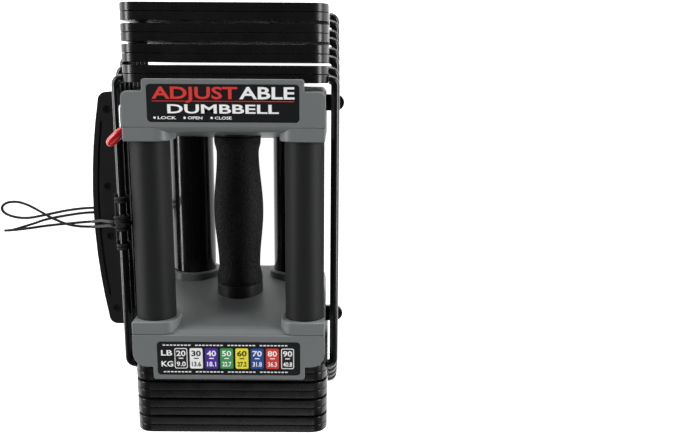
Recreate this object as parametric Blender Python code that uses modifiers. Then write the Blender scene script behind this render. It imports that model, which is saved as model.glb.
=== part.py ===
"""Adjustable block dumbbell: eight nested weights, a handle core, a selector pin and its lanyard.

It rests on its bottom edges, as it does between lifts. X runs across the block, Y along it and Z up.
Each weight is a steel plate at either end and a bent steel rail along either side, and each one
stands inside the next. All sizes are in metres.
"""
import math

import bmesh
import bpy
from mathutils import Vector

# ---- the nest of weights, from the lightest, which is innermost ----
WEIGHTS = (20, 30, 40, 50, 60, 70, 80, 90)
PLATE_WIDTH = 0.1866
PLATE_HEIGHT = 0.171
PLATE_THICKNESS = 0.0075
PLATE_CORNER = 0.016
PLATE_INNER_FACE = 0.1336       # the lightest weight's plates start here, from the middle
PAIR_PITCH = 0.018              # the plates stand in close pairs
TWIN_PITCH = 0.0079             # from one plate of a pair to the other
ROD_RADIUS = 0.004
RAIL_OFFSET = 0.0997            # the rods' centres, from the middle
RAIL_BEND = 0.0055
RAIL_INSET = 0.0005             # keeps the rods' ends behind the plates' outer faces
TOP_RAIL_DEPTH = 0.0144         # below the plates' top edges
RAIL_PITCH = 0.0154             # one rail to the next, which leaves room for the pin between

# ---- the handle core ----
CORE_Y = -0.0033                # it stands against the plates at its -Y end
CORE_HALF_LENGTH = 0.130
CORE_HALF_WIDTH = 0.091
CORE_TOP = 0.177
CORE_FOOT = 0.003
CAP_THICKNESS = 0.006
CAP_SEAM = 0.098                # the end cap starts here, from the core's middle
TAB_REACHES = {"rear": 0.1405, "front": 0.1420}     # its tab lies over the lightest weight's plate
TAB_HALF_WIDTH = 0.072
RIM_REACH = 0.094               # the inner face, at the top
FOOT_REACH = 0.072              # the same, at the foot
PILLAR_X = 0.0715
PILLAR_Z = 0.155
PILLAR_RADIUS = 0.0185
PILLAR_HALF_LENGTH = 0.0955
TUBE_X = 0.0564
TUBE_Z = 0.032
TUBE_RADIUS = 0.0235
TUBE_HALF_LENGTH = 0.0905
ADDER_RADIUS = 0.020
ADDER_LENGTH = 0.115            # 2.5 lb of steel
GRIP_Z = 0.080
GRIP_BAR_RADIUS = 0.0125
GRIP_SHIFT = 0.005              # the sleeve sits towards the rear, for a long collar in front
GRIP_END = 0.077                # from the sleeve's own middle
GRIP_RADII = (0.0255, 0.0215, 0.0238)               # at the palm, the waist and the flange
GRIP_PLACES = (0.0, 0.060, 0.072)
GRIP_BAR_END = 0.1035
COLLAR_RADIUS = 0.024
COLLAR_INNER_ENDS = {"rear": 0.0824, "front": 0.0723}
COLLAR_OUTER_END = 0.0877
SLOT_Y = 0.115                  # the pin's slots, from the core's middle
SLOT_WIDTH = 0.0184
SLOT_TOP = 0.153
CORE_CORNERS = {"rear": 0.006, "front": 0.013}      # the end blocks' outer corners, seen from above
TAB_CORNER = 0.0025
TAB_ROOT = 0.0015
FOOT_LIP = 0.0025               # how far the foot's lip stands out, and where it ends
FOOT_LIP_TOP = 0.009
BOSS_INNER_X = 0.051            # the bosses that hold the pillars
BOSS_LOW = 0.1325
BOSS_CORNER = 0.007
BOSS_MIDDLE = 0.0911
BOSS_DEPTH = 0.0124
SOCKET_DEPTH_PILLAR = 0.096     # how far the bores run in, from the core's middle
SOCKET_DEPTH_TUBE = 0.091
SOCKET_DEPTH_COLLAR = 0.088
SOCKET_DEPTH_BAR = 0.104
PIPE_WALL = 0.003
LABEL_HALF = 0.0675
LABEL_CORNER = 0.003
LABEL_THICKNESS = 0.0007
LABEL_BED = 0.0009              # how deep the label's bed is sunk
LABEL_DROP = 0.0002             # the label's middle, below the core's top

# ---- the lock lever ----
LEVER_PIVOT_Y = 0.113
LEVER_Z = 0.167
LEVER_WIRE_RADIUS = 0.0021
LEVER_WIRE_X = -0.0934          # it runs along the housing's side
LEVER_PIVOT_DEPTH = 0.0094
LEVER_KNEE = 0.0025
LEVER_BEND = 0.004
LEVER_BEND_Y = 0.094
LEVER_TURN_OUT = 50             # degrees
LEVER_TIP_RADIUS = 0.0045
LEVER_TIP_LENGTH = 0.019
LEVER_TIP_BORE = 0.009
LEVER_TIP_START = 0.0008        # from the bend's end

# ---- the selector pin ----
PIN_SETTING = 80
PRONG_WIDTH = 0.017
PRONG_THICKNESS = 0.006
PRONG_REACH = 0.1095            # the prongs' tips, from the middle
PIN_BACK = -0.131               # the far edge of the bar that joins the prongs
PIN_BAR_WIDTH = 0.013
HANDLE_INNER_X = -0.108
HANDLE_END_X = -0.145
HANDLE_MIDDLE_X = -0.1555
HANDLE_HALF_LENGTH = 0.125
HANDLE_SHELL_HEIGHT = 0.012
HANDLE_BOW_END = 0.115          # the bowed edge reaches this far along
HANDLE_OUTER_CORNER = 0.009
HANDLE_INNER_CORNER = 0.005
SCREW_PLACES = ((-0.136, 0.107), (-0.139, 0.027), (-0.139, -0.027), (-0.136, -0.107))
SCREW_HEAD_RADIUS = 0.0034
SCREW_HEAD_HEIGHT = 0.0014
SCREW_SHANK_RADIUS = 0.0015
SCREW_LENGTH = 0.018
SCREW_CLEARANCE = 0.0004        # round the head and the shank

# ---- the lanyard ----
CORD_RADIUS = 0.0015
HITCH_RADIUS = 0.0073
HITCH_ENDS = (-0.023, 0.031)

GAP = 0.0003                    # between pieces that touch
ROUND = 24                      # facets round a turned piece

BLOCK_X = -(HANDLE_MIDDLE_X + PRONG_REACH) / 2      # puts the origin midway from handle to tips


# ---- scene and materials ----
def clear_scene():
    for old in list(bpy.data.objects):
        bpy.data.objects.remove(old, do_unlink=True)


def collection(name):
    group = bpy.data.collections.new(name)
    bpy.context.scene.collection.children.link(group)
    return group


def material(name, colour, roughness, metallic=0.0):
    mat = bpy.data.materials.new(name)
    mat.use_nodes = True
    shader = mat.node_tree.nodes["Principled BSDF"]
    shader.inputs["Base Color"].default_value = (*colour, 1.0)
    shader.inputs["Roughness"].default_value = roughness
    shader.inputs["Metallic"].default_value = metallic
    return mat


clear_scene()
PARTS = collection("adjustable_dumbbell")
CUTTERS = collection("cutters")
BLACK_STEEL = material("black_coated_steel", (0.02, 0.02, 0.02), 0.3, 0.4)
GREY_PLASTIC = material("grey_housing", (0.14, 0.15, 0.15), 0.5)
LABEL_PLASTIC = material("label_panel", (0.012, 0.012, 0.013), 0.4)
BLACK_PLASTIC = material("black_plastic", (0.02, 0.02, 0.02), 0.45)
CHROME = material("chromed_steel", (0.8, 0.8, 0.82), 0.1, 1.0)
BARE_STEEL = material("bare_steel", (0.45, 0.45, 0.46), 0.35, 1.0)
GRIP_RUBBER = material("grip_rubber", (0.012, 0.012, 0.012), 0.8)
RED_VINYL = material("red_vinyl", (0.6, 0.01, 0.015), 0.25)
CORD_CLOTH = material("elastic_cord", (0.01, 0.01, 0.01), 0.85)

BLOCK = bpy.data.objects.new("block", None)     # stands at the middle of the nest, on its foot
BLOCK.location = (BLOCK_X, 0.0, 0.0)
PARTS.objects.link(BLOCK)
CORE = bpy.data.objects.new("core", None)       # stands at the middle of the handle core
CORE.location = (0.0, CORE_Y, 0.0)
CORE.parent = BLOCK
PARTS.objects.link(CORE)


def add(obj, mat, parent=BLOCK, sharp=35):
    """Link a finished sub-part, give it its material and shade its round faces smooth."""
    PARTS.objects.link(obj)
    obj.parent = parent
    obj.data.materials.append(mat)
    if obj.type == "MESH":
        obj.data.shade_smooth()
        obj.data.set_sharp_from_angle(angle=math.radians(sharp))
    return obj


# ---- shapes ----
def arc(centre, radius, start, end, steps):
    """Points on an arc, from one angle to another, in degrees."""
    angles = [math.radians(start + (end - start) * i / steps) for i in range(steps + 1)]
    return [(centre[0] + radius * math.cos(a), centre[1] + radius * math.sin(a)) for a in angles]


def rounded(corners, steps=4):
    """An outline from (x, y, corner radius) corners, each turned into an arc."""
    outline = []
    count = len(corners)
    for i, (x, y, radius) in enumerate(corners):
        here = Vector((x, y))
        if radius == 0:
            outline.append((x, y))
            continue
        before = (Vector(corners[i - 1][:2]) - here).normalized()
        after = (Vector(corners[(i + 1) % count][:2]) - here).normalized()
        half = before.angle(after) / 2
        start = here + before * radius / math.tan(half)
        end = here + after * radius / math.tan(half)
        centre = here + (before + after).normalized() * radius / math.sin(half)
        for step in range(steps + 1):
            spoke = (start - centre).slerp(end - centre, step / steps).normalized()
            outline.append(tuple(centre + spoke * radius))
    return outline


def box_outline(left, right, low, high, radius):
    return [(left, low, radius), (right, low, radius), (right, high, radius), (left, high, radius)]


TURNS = {"Z": (0.0, 0.0, 0.0), "Y": (math.pi / 2, 0.0, 0.0), "X": (math.pi / 2, 0.0, math.pi / 2)}


def slab(name, outline, thickness, centre=(0.0, 0.0, 0.0), normal="Z"):
    """A flat outline with thickness. Its points are (x, y), (x, z) or (y, z) for normal Z, Y or X."""
    curve = bpy.data.curves.new(name, "CURVE")
    curve.dimensions = "2D"
    curve.fill_mode = "BOTH"
    curve.extrude = thickness / 2
    spline = curve.splines.new("POLY")
    spline.points.add(len(outline) - 1)
    for point, (x, y) in zip(spline.points, outline):
        point.co = (x, y, 0.0, 1.0)
    spline.use_cyclic_u = True
    return as_mesh(bpy.data.objects.new(name, curve), centre, TURNS[normal])


def as_mesh(flat, centre, turn):
    """A curve made a closed mesh, its caps welded to its sides."""
    name = flat.name
    CUTTERS.objects.link(flat)
    bpy.context.view_layer.update()
    mesh = bpy.data.meshes.new_from_object(flat.evaluated_get(bpy.context.evaluated_depsgraph_get()))
    bpy.data.objects.remove(flat, do_unlink=True)
    bm = bmesh.new()
    bm.from_mesh(mesh)
    bmesh.ops.remove_doubles(bm, verts=bm.verts, dist=1e-6)
    bmesh.ops.dissolve_limit(bm, angle_limit=math.radians(0.5), verts=bm.verts, edges=bm.edges)
    bmesh.ops.recalc_face_normals(bm, faces=bm.faces)
    bm.to_mesh(mesh)
    bm.free()
    solid = bpy.data.objects.new(name, mesh)
    solid.location = centre
    solid.rotation_euler = turn
    return solid


def turned(name, profile, centre, steps=ROUND, along=(0.0, 1.0, 0.0)):
    """A turned piece: (radius, place along its axis) points, top to bottom down its outer side."""
    mesh = bpy.data.meshes.new(name)
    bm = bmesh.new()
    verts = [bm.verts.new((radius, 0.0, place)) for radius, place in profile]
    for first, second in zip(verts, verts[1:]):
        bm.edges.new((first, second))
    if profile[0][0] > 0:
        bm.edges.new((verts[-1], verts[0]))
    bm.to_mesh(mesh)
    bm.free()
    piece = bpy.data.objects.new(name, mesh)
    screw = piece.modifiers.new("turn", "SCREW")
    screw.steps = steps
    screw.render_steps = steps
    screw.use_merge_vertices = True
    screw.merge_threshold = 1e-5
    piece.location = centre
    piece.rotation_euler = Vector(along).to_track_quat("Z", "Y").to_euler()
    return piece


def tube(name, outer, inner, half_length, centre):
    profile = [(outer, half_length), (outer, -half_length), (inner, -half_length), (inner, half_length)]
    return turned(name, profile, centre)


def rod_line(name, points, radius, resolution=2):
    """Round rod or cord along a line of points, with filled ends."""
    curve = bpy.data.curves.new(name, "CURVE")
    curve.dimensions = "3D"
    curve.bevel_depth = radius
    curve.bevel_resolution = resolution
    curve.use_fill_caps = True
    spline = curve.splines.new("POLY")
    spline.points.add(len(points) - 1)
    for point, place in zip(spline.points, points):
        point.co = (*place, 1.0)
    return bpy.data.objects.new(name, curve)


def boolean(piece, tool, operation="DIFFERENCE"):
    """Cut the tool out of the piece, or join it on. The tool stays as a hidden wire."""
    CUTTERS.objects.link(tool)
    tool.parent = tool.parent or piece.parent
    tool.hide_render = True
    tool.display_type = "WIRE"
    change = piece.modifiers.new(tool.name, "BOOLEAN")
    change.operation = operation
    change.object = tool
    weld = piece.modifiers.new("weld", "WELD")      # closes the hair-fine splits that a cut leaves
    weld.merge_threshold = 5e-6


def drill(name, radius, start, end, place, axis="Y"):
    """A round cutter along Y or X, from start to end; place is its centre on the other two axes."""
    middle = (start + end) / 2
    half = abs(end - start) / 2
    if axis == "Y":
        centre, along = (place[0], middle, place[1]), (0.0, 1.0, 0.0)
    elif axis == "X":
        centre, along = (middle, place[0], place[1]), (1.0, 0.0, 0.0)
    else:
        centre, along = (place[0], place[1], middle), (0.0, 0.0, 1.0)
    return turned(name, [(0.0, half), (radius, half), (radius, -half), (0.0, -half)], centre, ROUND, along)


def brick(name, low, high):
    """A plain box cutter between two corners."""
    outline = [(low[0], low[1]), (high[0], low[1]), (high[0], high[1]), (low[0], high[1])]
    return slab(name, outline, high[2] - low[2], (0.0, 0.0, (low[2] + high[2]) / 2))


def smooth_route(points, spacing):
    """Evenly spaced points on a smooth curve through a route's own points."""
    places = [Vector(point) for point in points]
    places = [places[0] * 2 - places[1]] + places + [places[-1] * 2 - places[-2]]
    fine = []
    for p0, p1, p2, p3 in zip(places, places[1:], places[2:], places[3:]):
        for step in range(16):
            t = step / 16
            fine.append(0.5 * (2 * p1 + (p2 - p0) * t + (2 * p0 - 5 * p1 + 4 * p2 - p3) * t * t
                               + (3 * p1 - p0 - 3 * p2 + p3) * t ** 3))
    fine.append(places[-2])
    length = sum((b - a).length for a, b in zip(fine, fine[1:]))
    count = round(length / spacing)
    even = [fine[0]]
    run = 0.0
    for a, b in zip(fine, fine[1:]):
        run += (b - a).length
        if run >= length / count * len(even) and len(even) < count:
            even.append(b)
    return even + [fine[-1]]


# ---- the weights ----
def plate_place(index):
    """The middle of the index-th plate from the inside, along Y."""
    pair, twin = divmod(index, 2)
    return PLATE_INNER_FACE + pair * PAIR_PITCH + twin * TWIN_PITCH + PLATE_THICKNESS / 2


def rail_height(index):
    return PLATE_HEIGHT - TOP_RAIL_DEPTH - RAIL_PITCH * index


def weight_plate(name, y):
    half = PLATE_WIDTH / 2
    outline = rounded(box_outline(-half, half, 0.0, PLATE_HEIGHT, PLATE_CORNER))
    add(slab(name, outline, PLATE_THICKNESS, (0.0, y, 0.0), "Y"), BLACK_STEEL)


def weight_rail(name, side, reach, z):
    """A rod along the block's side, its ends bent in to the edges of the weight's two plates."""
    weld = PLATE_WIDTH / 2 + GAP
    bend_x = RAIL_OFFSET - RAIL_BEND
    half = [(weld, reach)] + arc((bend_x, reach - RAIL_BEND), RAIL_BEND, 90, 0, 4)
    line = half + [(x, -y) for x, y in reversed(half)]
    points = [(side * x, y, z) for x, y in line]
    add(rod_line(name, points, ROD_RADIUS), BLACK_STEEL)


def nested_weights():
    for index, pounds in enumerate(WEIGHTS):
        y = plate_place(index)
        weight_plate(f"weight_{pounds}_plate_rear", y)
        weight_plate(f"weight_{pounds}_plate_front", -y)
        weight_rail(f"weight_{pounds}_rail_left", -1, y - RAIL_INSET, rail_height(index))
        weight_rail(f"weight_{pounds}_rail_right", 1, y - RAIL_INSET, rail_height(index))


# ---- the handle core ----
def end_housing(end, side):
    """The moulded end block: sloped inner face, sockets for the pillars, tubes and grip, pin slot."""
    name = f"end_housing_{end}"
    seat = CORE_TOP - CAP_THICKNESS - GAP
    lip = FOOT_REACH - FOOT_LIP
    profile = [(lip, CORE_FOOT), (CORE_HALF_LENGTH, CORE_FOOT), (CORE_HALF_LENGTH, seat),
               (CAP_SEAM - GAP, seat), (CAP_SEAM - GAP, CORE_TOP), (RIM_REACH, CORE_TOP),
               (FOOT_REACH + 0.001, FOOT_LIP_TOP + 0.0005), (lip, FOOT_LIP_TOP)]
    outline = [(side * reach, z) for reach, z in profile]
    housing = slab(name, outline, 2 * CORE_HALF_WIDTH, normal="X")
    add(housing, GREY_PLASTIC, CORE)

    half, far = CORE_HALF_WIDTH + 0.001, CORE_HALF_LENGTH + 0.001
    near = lip - 0.01
    corner = CORE_CORNERS[end]
    plan = [(-half, near, 0.0), (half, near, 0.0), (half, far, corner), (-half, far, corner)]
    corners = [(x, side * y) for x, y in rounded(plan)]
    boolean(housing, slab(f"{name}_plan", corners, 3 * CORE_TOP), "INTERSECT")

    for sign in (-1, 1):
        edges = sorted((sign * BOSS_INNER_X, sign * (CORE_HALF_WIDTH - GAP)))
        boss = rounded(box_outline(*edges, BOSS_LOW, CORE_TOP - GAP, BOSS_CORNER))
        tool = slab(f"{name}_boss_{sign}", boss, BOSS_DEPTH, (0.0, side * BOSS_MIDDLE, 0.0), "Y")
        boolean(housing, tool, "UNION")

    reach = CORE_HALF_WIDTH + 0.01
    slot = sorted((side * (SLOT_Y - SLOT_WIDTH / 2), side * (SLOT_Y + SLOT_WIDTH / 2)))
    boolean(housing, brick(f"{name}_slot", (-reach, slot[0], -0.01), (reach, slot[1], SLOT_TOP)))

    def bore(part, radius, depth, place, start=near):
        boolean(housing, drill(f"{name}_{part}", radius, side * start, side * depth, place))

    for sign in (-1, 1):
        low = (sign * TUBE_X, TUBE_Z)
        bore(f"pillar_{sign}", PILLAR_RADIUS + GAP, SOCKET_DEPTH_PILLAR, (sign * PILLAR_X, PILLAR_Z))
        bore(f"tube_{sign}", TUBE_RADIUS + GAP, SOCKET_DEPTH_TUBE, low)
        bore(f"way_out_{sign}", ADDER_RADIUS + 0.001, CORE_HALF_LENGTH + 0.005, low, SOCKET_DEPTH_COLLAR)
    bore("collar", COLLAR_RADIUS + GAP, SOCKET_DEPTH_COLLAR, (0.0, GRIP_Z))
    bore("bar", GRIP_BAR_RADIUS + GAP, SOCKET_DEPTH_BAR, (0.0, GRIP_Z))
    if side > 0:
        pivot = (LEVER_PIVOT_Y - CORE_Y, LEVER_Z)
        hole = drill(f"{name}_pivot", LEVER_WIRE_RADIUS + 2 * GAP, -half - 0.003, -half + 0.010, pivot, "X")
        boolean(housing, hole)


def end_cap(end, side, label_near, label_far):
    """The cover over an end housing, with a tab over the first plate and a sunk label panel."""
    half = CORE_HALF_WIDTH
    shoulder = CORE_HALF_LENGTH - 0.0005
    corner, tab = CORE_CORNERS[end], TAB_REACHES[end]
    plan = [(-half, CAP_SEAM, 0.0), (half, CAP_SEAM, 0.0), (half, CORE_HALF_LENGTH, corner),
            (TAB_HALF_WIDTH, shoulder, TAB_ROOT), (TAB_HALF_WIDTH, tab, TAB_CORNER),
            (-TAB_HALF_WIDTH, tab, TAB_CORNER), (-TAB_HALF_WIDTH, shoulder, TAB_ROOT),
            (-half, CORE_HALF_LENGTH, corner)]
    outline = [(x, side * y) for x, y in rounded(plan)]
    cap = slab(f"end_cap_{end}", outline, CAP_THICKNESS, (0.0, 0.0, CORE_TOP - CAP_THICKNESS / 2))
    add(cap, GREY_PLASTIC, CORE)

    near, far = sorted((side * label_near, side * label_far))
    recess = rounded(box_outline(-LABEL_HALF - GAP, LABEL_HALF + GAP, near - GAP, far + GAP,
                                 LABEL_CORNER + GAP))
    boolean(cap, slab(f"end_cap_{end}_recess", recess, 2 * LABEL_BED, (0.0, 0.0, CORE_TOP)))
    panel = rounded(box_outline(-LABEL_HALF, LABEL_HALF, near, far, LABEL_CORNER))
    middle = (0.0, 0.0, CORE_TOP - LABEL_DROP)
    add(slab(f"label_panel_{end}", panel, LABEL_THICKNESS, middle), LABEL_PLASTIC, CORE)


def grip_radius(place):
    """The grip swells at the palm, narrows to a waist at either end and flares to its flange."""
    place = abs(place)
    palm, waist, flange = GRIP_RADII
    _, waist_place, flange_place = GRIP_PLACES
    if place < waist_place:
        return palm - (palm - waist) * (1 - math.cos(math.pi * place / waist_place)) / 2
    along = min(1.0, (place - waist_place) / (flange_place - waist_place))
    return waist + (flange - waist) * (1 - math.cos(math.pi * along)) / 2


def grip():
    bar = GRIP_BAR_RADIUS
    add(tube("grip_bar", bar, bar - PIPE_WALL, GRIP_BAR_END, (0.0, 0.0, GRIP_Z)), BARE_STEEL, CORE)
    places = [GRIP_END - 2 * GRIP_END * i / 18 for i in range(19)]
    profile = [(grip_radius(place), place) for place in places]
    profile += [(bar + GAP, -GRIP_END), (bar + GAP, GRIP_END)]
    add(turned("grip_sleeve", profile, (0.0, GRIP_SHIFT, GRIP_Z)), GRIP_RUBBER, CORE)
    for end, side in (("rear", 1), ("front", -1)):
        inner, outer = COLLAR_INNER_ENDS[end], COLLAR_OUTER_END
        middle = (0.0, side * (inner + outer) / 2, GRIP_Z)
        add(tube(f"grip_collar_{end}", COLLAR_RADIUS, bar + GAP, (outer - inner) / 2, middle),
            BLACK_PLASTIC, CORE)


def pillars_and_tubes():
    for hand, sign in (("left", -1), ("right", 1)):
        top = (sign * PILLAR_X, 0.0, PILLAR_Z)
        low = (sign * TUBE_X, 0.0, TUBE_Z)
        add(tube(f"pillar_{hand}", PILLAR_RADIUS, PILLAR_RADIUS - PIPE_WALL, PILLAR_HALF_LENGTH, top),
            BLACK_PLASTIC, CORE)
        add(tube(f"adder_tube_{hand}", TUBE_RADIUS, ADDER_RADIUS + 0.001, TUBE_HALF_LENGTH, low),
            BLACK_STEEL, CORE)
        half, edge = ADDER_LENGTH / 2, 0.0015
        profile = [(0.0, half), (ADDER_RADIUS - edge, half), (ADDER_RADIUS, half - edge),
                   (ADDER_RADIUS, edge - half), (ADDER_RADIUS - edge, -half), (0.0, -half)]
        add(turned(f"adder_weight_{hand}", profile, low), CHROME, CORE)


def lock_lever():
    """A bent wire hinged in the rear housing's left side, with a dipped vinyl tip."""
    knee_x, turn = LEVER_WIRE_X + LEVER_KNEE, math.radians(LEVER_TURN_OUT)
    line = [(LEVER_WIRE_X + LEVER_PIVOT_DEPTH, LEVER_PIVOT_Y), (knee_x, LEVER_PIVOT_Y)]
    line += arc((knee_x, LEVER_PIVOT_Y - LEVER_KNEE), LEVER_KNEE, 120, 180, 2)
    line += arc((LEVER_WIRE_X - LEVER_BEND, LEVER_BEND_Y), LEVER_BEND, 0, -LEVER_TURN_OUT, 4)
    points = [Vector((x, y, LEVER_Z)) for x, y in line]
    bend_end = points[-1]
    out = Vector((-math.sin(turn), -math.cos(turn), 0.0))
    points.append(bend_end + out * LEVER_TIP_BORE)
    add(rod_line("lock_lever", points, LEVER_WIRE_RADIUS), BARE_STEEL)

    start = bend_end + out * LEVER_TIP_START
    radius, bore = LEVER_TIP_RADIUS, LEVER_WIRE_RADIUS + GAP
    length, depth = LEVER_TIP_LENGTH, LEVER_TIP_BORE
    dome = [(radius * math.sin(a), length - radius + radius * math.cos(a))
            for a in (math.radians(15 * i) for i in range(7))]
    profile = dome + [(radius, 0.001), (radius - 0.001, 0.0), (bore, 0.0), (bore, depth), (0.0, depth)]
    profile[0] = (0.0, length)
    add(turned("lever_tip", profile, start, 16, out), RED_VINYL)


# ---- the selector pin ----
def pin_height():
    """The prongs lie just under the chosen weight's rails."""
    return rail_height(WEIGHTS.index(PIN_SETTING)) - ROD_RADIUS - PRONG_THICKNESS / 2 - GAP


def pin_outline(grow=0.0):
    """The U-shaped bar seen from above: two round-tipped prongs and the bar that joins them."""
    half = PRONG_WIDTH / 2 + grow
    tip = PRONG_REACH - PRONG_WIDTH / 2
    inner = PIN_BACK + PIN_BAR_WIDTH + grow
    outline = arc((tip, SLOT_Y), half, 90, -90, 8)
    outline += [(inner, SLOT_Y - half), (inner, half - SLOT_Y)]
    outline += arc((tip, -SLOT_Y), half, 90, -90, 8)
    outline += [(PIN_BACK - grow, -SLOT_Y - half), (PIN_BACK - grow, SLOT_Y + half)]
    return outline


def handle_outline():
    """A D-shaped plate: straight inside, bowed outside, with round ends."""
    rise = HANDLE_END_X - HANDLE_MIDDLE_X
    span = HANDLE_BOW_END
    radius = (span ** 2 + rise ** 2) / (2 * rise)
    reach = math.degrees(math.asin(span / radius))
    bow = arc((HANDLE_MIDDLE_X + radius, 0.0), radius, 180 - reach, 180 + reach, 10)
    end = HANDLE_HALF_LENGTH
    lower = rounded([(HANDLE_END_X, -span, 0.0), (HANDLE_END_X + 0.001, -end, HANDLE_OUTER_CORNER),
                     (HANDLE_INNER_X, -end, HANDLE_INNER_CORNER), (HANDLE_INNER_X, 0.0, 0.0)])
    upper = [(x, -y) for x, y in reversed(lower)]
    return bow[1:-1] + lower[:-1] + upper[1:]


def selector_pin():
    z = pin_height()
    middle = (0.0, CORE_Y, z)
    add(slab("pin_prongs", pin_outline(), PRONG_THICKNESS, middle), BLACK_STEEL)
    shells = {}
    for name, side in (("pin_handle_top", 1), ("pin_handle_bottom", -1)):
        height = HANDLE_SHELL_HEIGHT - GAP / 2
        centre = (0.0, CORE_Y, z + side * (GAP + height) / 2)
        shell = slab(name, handle_outline(), height, centre)
        add(shell, BLACK_PLASTIC)
        boolean(shell, slab(f"{name}_bed", pin_outline(GAP), PRONG_THICKNESS + 2 * GAP, middle))
        shells[name] = shell
    top = z + HANDLE_SHELL_HEIGHT
    head, shank, height, room = SCREW_HEAD_RADIUS, SCREW_SHANK_RADIUS, SCREW_HEAD_HEIGHT, SCREW_CLEARANCE
    for number, (x, y) in enumerate(SCREW_PLACES, 1):
        place = (x, CORE_Y + y)
        for name, shell in shells.items():
            deep = top - SCREW_LENGTH - 2 * room
            boolean(shell, drill(f"{name}_screw_{number}", shank + room, deep, top + room, place, "Z"))
        sink = drill(f"head_{number}", head + room, top - height - 2 * room, top + 2 * height, place, "Z")
        boolean(shells["pin_handle_top"], sink)
        profile = [(0.0, 0.0), (head - room, 0.0), (head, -room), (head, -height), (shank, -height),
                   (shank, -SCREW_LENGTH), (0.0, -SCREW_LENGTH)]
        middle = (*place, top - room / 2)
        add(turned(f"pin_screw_{number}", profile, middle, 12, (0.0, 0.0, 1.0)), BARE_STEEL)


# ---- the lanyard ----
WIDE_LOOP = (
    (-0.1083, -0.0005, 0.1560), (-0.1114, -0.0009, 0.1540), (-0.1165, -0.0025, 0.1440),
    (-0.1240, -0.0058, 0.1300), (-0.1350, -0.0105, 0.1100), (-0.1470, -0.0156, 0.0890),
    (-0.1545, -0.0188, 0.0760), (-0.1585, -0.0213, 0.0660), (-0.1605, -0.0244, 0.0500),
    (-0.1630, -0.0284, 0.0290), (-0.1670, -0.0318, 0.0130), (-0.1755, -0.0344, 0.0038),
    (-0.1880, -0.0349, 0.0018), (-0.1960, -0.0340, 0.0034), (-0.2060, -0.0319, 0.0052),
    (-0.2180, -0.0273, 0.0052), (-0.2270, -0.0230, 0.0052), (-0.2360, -0.0178, 0.0050),
    (-0.2490, -0.0112, 0.0030), (-0.2600, -0.0073, 0.0018), (-0.2680, -0.0062, 0.0017),
    (-0.2765, -0.0073, 0.0017), (-0.2825, -0.0118, 0.0017), (-0.2820, -0.0174, 0.0017),
    (-0.2770, -0.0213, 0.0017), (-0.2685, -0.0240, 0.0017), (-0.2594, -0.0251, 0.0017),
    (-0.2500, -0.0246, 0.0017), (-0.2350, -0.0217, 0.0017), (-0.2200, -0.0183, 0.0017),
    (-0.2050, -0.0154, 0.0017), (-0.1850, -0.0130, 0.0017), (-0.1550, -0.0118, 0.0017),
    (-0.1250, -0.0085, 0.0018), (-0.1125, -0.0060, 0.0045), (-0.1067, -0.0045, 0.0125),
    (-0.1059, -0.0035, 0.0260), (-0.1059, 0.0000, 0.0600), (-0.1059, 0.0040, 0.1050),
    (-0.1059, 0.0075, 0.1503))
NARROW_LOOP = (
    (-0.1083, 0.0040, 0.1575), (-0.1114, 0.0034, 0.1556), (-0.1165, 0.0018, 0.1460),
    (-0.1240, -0.0010, 0.1310), (-0.1350, -0.0050, 0.1100), (-0.1470, -0.0100, 0.0890),
    (-0.1545, -0.0130, 0.0760), (-0.1585, -0.0155, 0.0660), (-0.1605, -0.0185, 0.0500),
    (-0.1630, -0.0225, 0.0290), (-0.1670, -0.0260, 0.0130), (-0.1755, -0.0283, 0.0038),
    (-0.1900, -0.0295, 0.0018), (-0.2050, -0.0312, 0.0017), (-0.2200, -0.0326, 0.0017),
    (-0.2360, -0.0346, 0.0017), (-0.2520, -0.0370, 0.0017), (-0.2660, -0.0388, 0.0018),
    (-0.2745, -0.0393, 0.0043), (-0.2780, -0.0386, 0.0085), (-0.2745, -0.0376, 0.0128),
    (-0.2660, -0.0362, 0.0142), (-0.2560, -0.0334, 0.0112), (-0.2450, -0.0304, 0.0064),
    (-0.2350, -0.0272, 0.0028), (-0.2240, -0.0246, 0.0017), (-0.2050, -0.0211, 0.0017),
    (-0.1850, -0.0184, 0.0017), (-0.1550, -0.0172, 0.0017), (-0.1250, -0.0145, 0.0018),
    (-0.1125, -0.0122, 0.0045), (-0.1067, -0.0110, 0.0125), (-0.1059, -0.0100, 0.0260),
    (-0.1059, -0.0065, 0.0600), (-0.1059, -0.0025, 0.1050), (-0.1059, 0.0010, 0.1503))
CORD_SPACING = 0.008


def lanyard():
    """Two loops of elastic cord, hitched to the lightest weight's left rail and laid past the pin."""
    near, far = HITCH_ENDS
    half, bore, edge = (far - near) / 2, ROD_RADIUS + GAP, 0.0015
    profile = [(HITCH_RADIUS - edge, half), (HITCH_RADIUS, half - edge), (HITCH_RADIUS, edge - half),
               (HITCH_RADIUS - edge, -half), (bore, -half), (bore, half)]
    place = (-RAIL_OFFSET, (near + far) / 2, rail_height(0))
    add(turned("lanyard_hitch", profile, place, 16), CORD_CLOTH)
    add(rod_line("lanyard_wide_loop", smooth_route(WIDE_LOOP, CORD_SPACING), CORD_RADIUS), CORD_CLOTH)
    add(rod_line("lanyard_narrow_loop", smooth_route(NARROW_LOOP, CORD_SPACING), CORD_RADIUS), CORD_CLOTH)


nested_weights()
end_housing("rear", 1)
end_housing("front", -1)
end_cap("rear", 1, 0.1027, 0.1355)
end_cap("front", -1, 0.1046, 0.1372)
grip()
pillars_and_tubes()
lock_lever()
selector_pin()
lanyard()
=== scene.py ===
"""The adjustable dumbbell's looks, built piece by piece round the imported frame. Sizes are in metres."""
import math

import bpy
from mathutils import Matrix, Vector


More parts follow.
